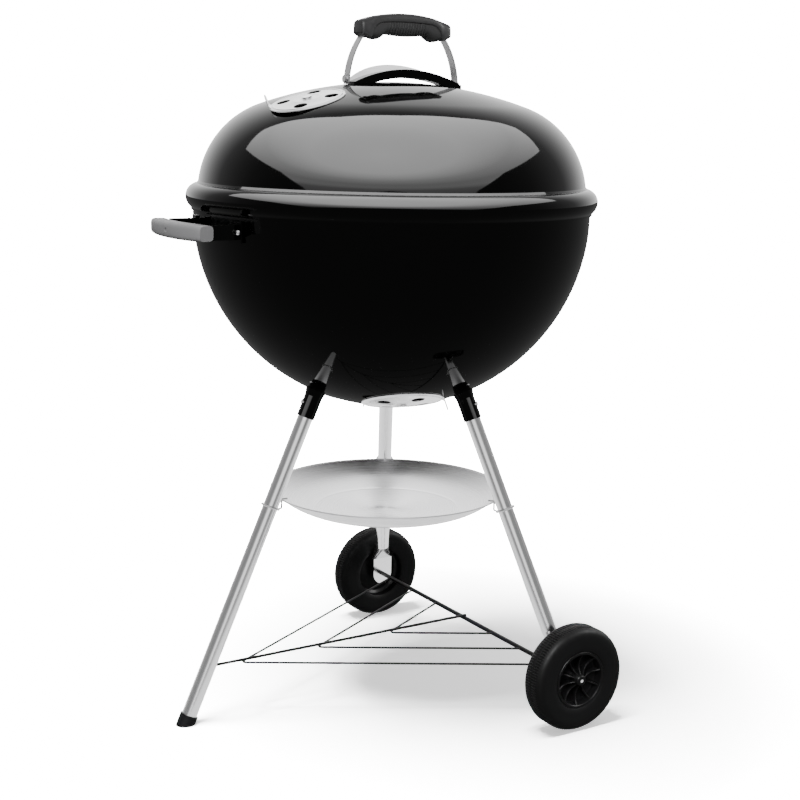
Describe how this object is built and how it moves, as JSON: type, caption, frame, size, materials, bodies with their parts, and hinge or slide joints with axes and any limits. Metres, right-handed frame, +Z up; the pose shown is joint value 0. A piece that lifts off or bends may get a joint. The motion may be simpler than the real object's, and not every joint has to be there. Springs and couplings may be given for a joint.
{
  "type": "kettle charcoal grill",
  "caption": "Round covered charcoal grill: enamelled bowl and domed lift-off lid with vents, three splayed tube legs, two wheels, wire rack and a shallow ash pan.",
  "frame": {"origin": "on the ground, under the axis of the bowl and lid", "axes": "+Z up along the bowl's axis; -X towards the foot leg and the side handle; the axle runs along Y on the +X side"},
  "size_m": [0.6453, 0.5946, 0.997],
  "materials": {
    "enamel": "gloss black enamel",
    "damper_aluminium": "brushed",
    "pan_aluminium": "spun, brushed",
    "rivet_aluminium": "bright",
    "leg_aluminium": "bright drawn tube",
    "cap_plastic": "satin black",
    "button_steel": "zinc plated",
    "tyre_plastic": "matte black with fine tread",
    "rim_plastic": "satin black",
    "axle_black": "satin black",
    "rack_wire": "satin black",
    "clip_steel": "zinc plated",
    "shield_steel": "satin grey",
    "strap_steel": "satin grey",
    "grip_nylon": "fine grained charcoal nylon",
    "grate_chrome": "plated",
    "tab_steel": "enamelled with the bowl"
  },
  "bodies": {
    "stand": {"ash_pan": "pan_aluminium", "axle": "axle_black", "axle_cap_left": "rim_plastic", "axle_cap_right": "rim_plastic", "bottom_damper_rivet_left": "rivet_aluminium", "bottom_damper_rivet_rear": "rivet_aluminium", "bottom_damper_rivet_right": "rivet_aluminium", "bowl_shell": "enamel", "foot_cap": "cap_plastic", "grate_tabs": "tab_steel", "leg_buttons": "button_steel", "leg_foot": "leg_aluminium", "leg_left": "leg_aluminium", "leg_right": "leg_aluminium", "leg_socket_foot": "enamel", "leg_socket_left": "enamel", "leg_socket_right": "enamel", "pan_clip_foot": "clip_steel", "pan_clip_left": "clip_steel", "pan_clip_right": "clip_steel", "rack_spine": "rack_wire", "rack_wire_inner": "rack_wire", "rack_wire_middle": "rack_wire", "rack_wire_outer": "rack_wire", "side_handle_brackets": "enamel", "side_handle_grip": "grip_nylon", "side_handle_screws": "button_steel"},
    "lid": {"lid_shell": "enamel", "handle_bracket": "enamel", "heat_shield": "shield_steel", "handle_straps": "strap_steel", "grip_top": "grip_nylon", "grip_insert": "grip_nylon", "handle_bolts": "button_steel", "lid_hook": "rack_wire", "lid_damper_rivet": "rivet_aluminium"},
    "lid_vent": {"lid_damper": "damper_aluminium"},
    "vent_rear": {"bottom_damper_rear": "damper_aluminium"},
    "vent_left": {"bottom_damper_left": "damper_aluminium"},
    "vent_right": {"bottom_damper_right": "damper_aluminium"},
    "wheel_right": {"wheel_tyre_right": "tyre_plastic", "wheel_rim_right": "rim_plastic"},
    "wheel_left": {"wheel_tyre_left": "tyre_plastic", "wheel_rim_left": "rim_plastic"},
    "upper_grate": {"cooking_grate": "grate_chrome"},
    "lower_grate": {"charcoal_grate": "grate_chrome"}
  },
  "joints": [
    {"name": "lid_lift", "type": "slide", "parent": "stand", "child": "lid", "axis": [0, 0, 1], "range_m": [0, 0.6]},
    {"name": "cooking_grate_lift", "type": "slide", "parent": "stand", "child": "upper_grate", "axis": [0, 0, 1], "range_m": [0, 0.3]},
    {"name": "charcoal_grate_lift", "type": "slide", "parent": "stand", "child": "lower_grate", "axis": [0, 0, 1], "range_m": [0, 0.24]},
    {"name": "lid_damper_turn", "type": "hinge", "parent": "lid", "child": "lid_vent", "pos_m": [-0.16659, -0.05221, 0.87601], "axis": [-0.2933, -0.0919, 0.9516], "range_deg": [-45, 45]},
    {"name": "rear_damper_turn", "type": "hinge", "parent": "stand", "child": "vent_rear", "pos_m": [0.09619, 0.0187, 0.45428], "axis": [0.3357, 0.0653, -0.9397], "range_deg": [0, 45]},
    {"name": "left_damper_turn", "type": "hinge", "parent": "stand", "child": "vent_left", "pos_m": [-0.06429, 0.07395, 0.45428], "axis": [-0.2244, 0.2581, -0.9397], "range_deg": [0, 45]},
    {"name": "right_damper_turn", "type": "hinge", "parent": "stand", "child": "vent_right", "pos_m": [-0.0319, -0.09265, 0.45428], "axis": [-0.1114, -0.3234, -0.9397], "range_deg": [0, 45]},
    {"name": "wheel_right_spin", "type": "hinge", "parent": "stand", "child": "wheel_right", "pos_m": [0.148, -0.276, 0.076], "axis": [0, 1, 0], "continuous": true},
    {"name": "wheel_left_spin", "type": "hinge", "parent": "stand", "child": "wheel_left", "pos_m": [0.148, 0.276, 0.076], "axis": [0, 1, 0], "continuous": true}
  ],
  "couplings": [
    {"joint": "cooking_grate_lift", "follows": "lid_lift", "ratio": 0.5},
    {"joint": "charcoal_grate_lift", "follows": "lid_lift", "ratio": 0.4}
  ]
}
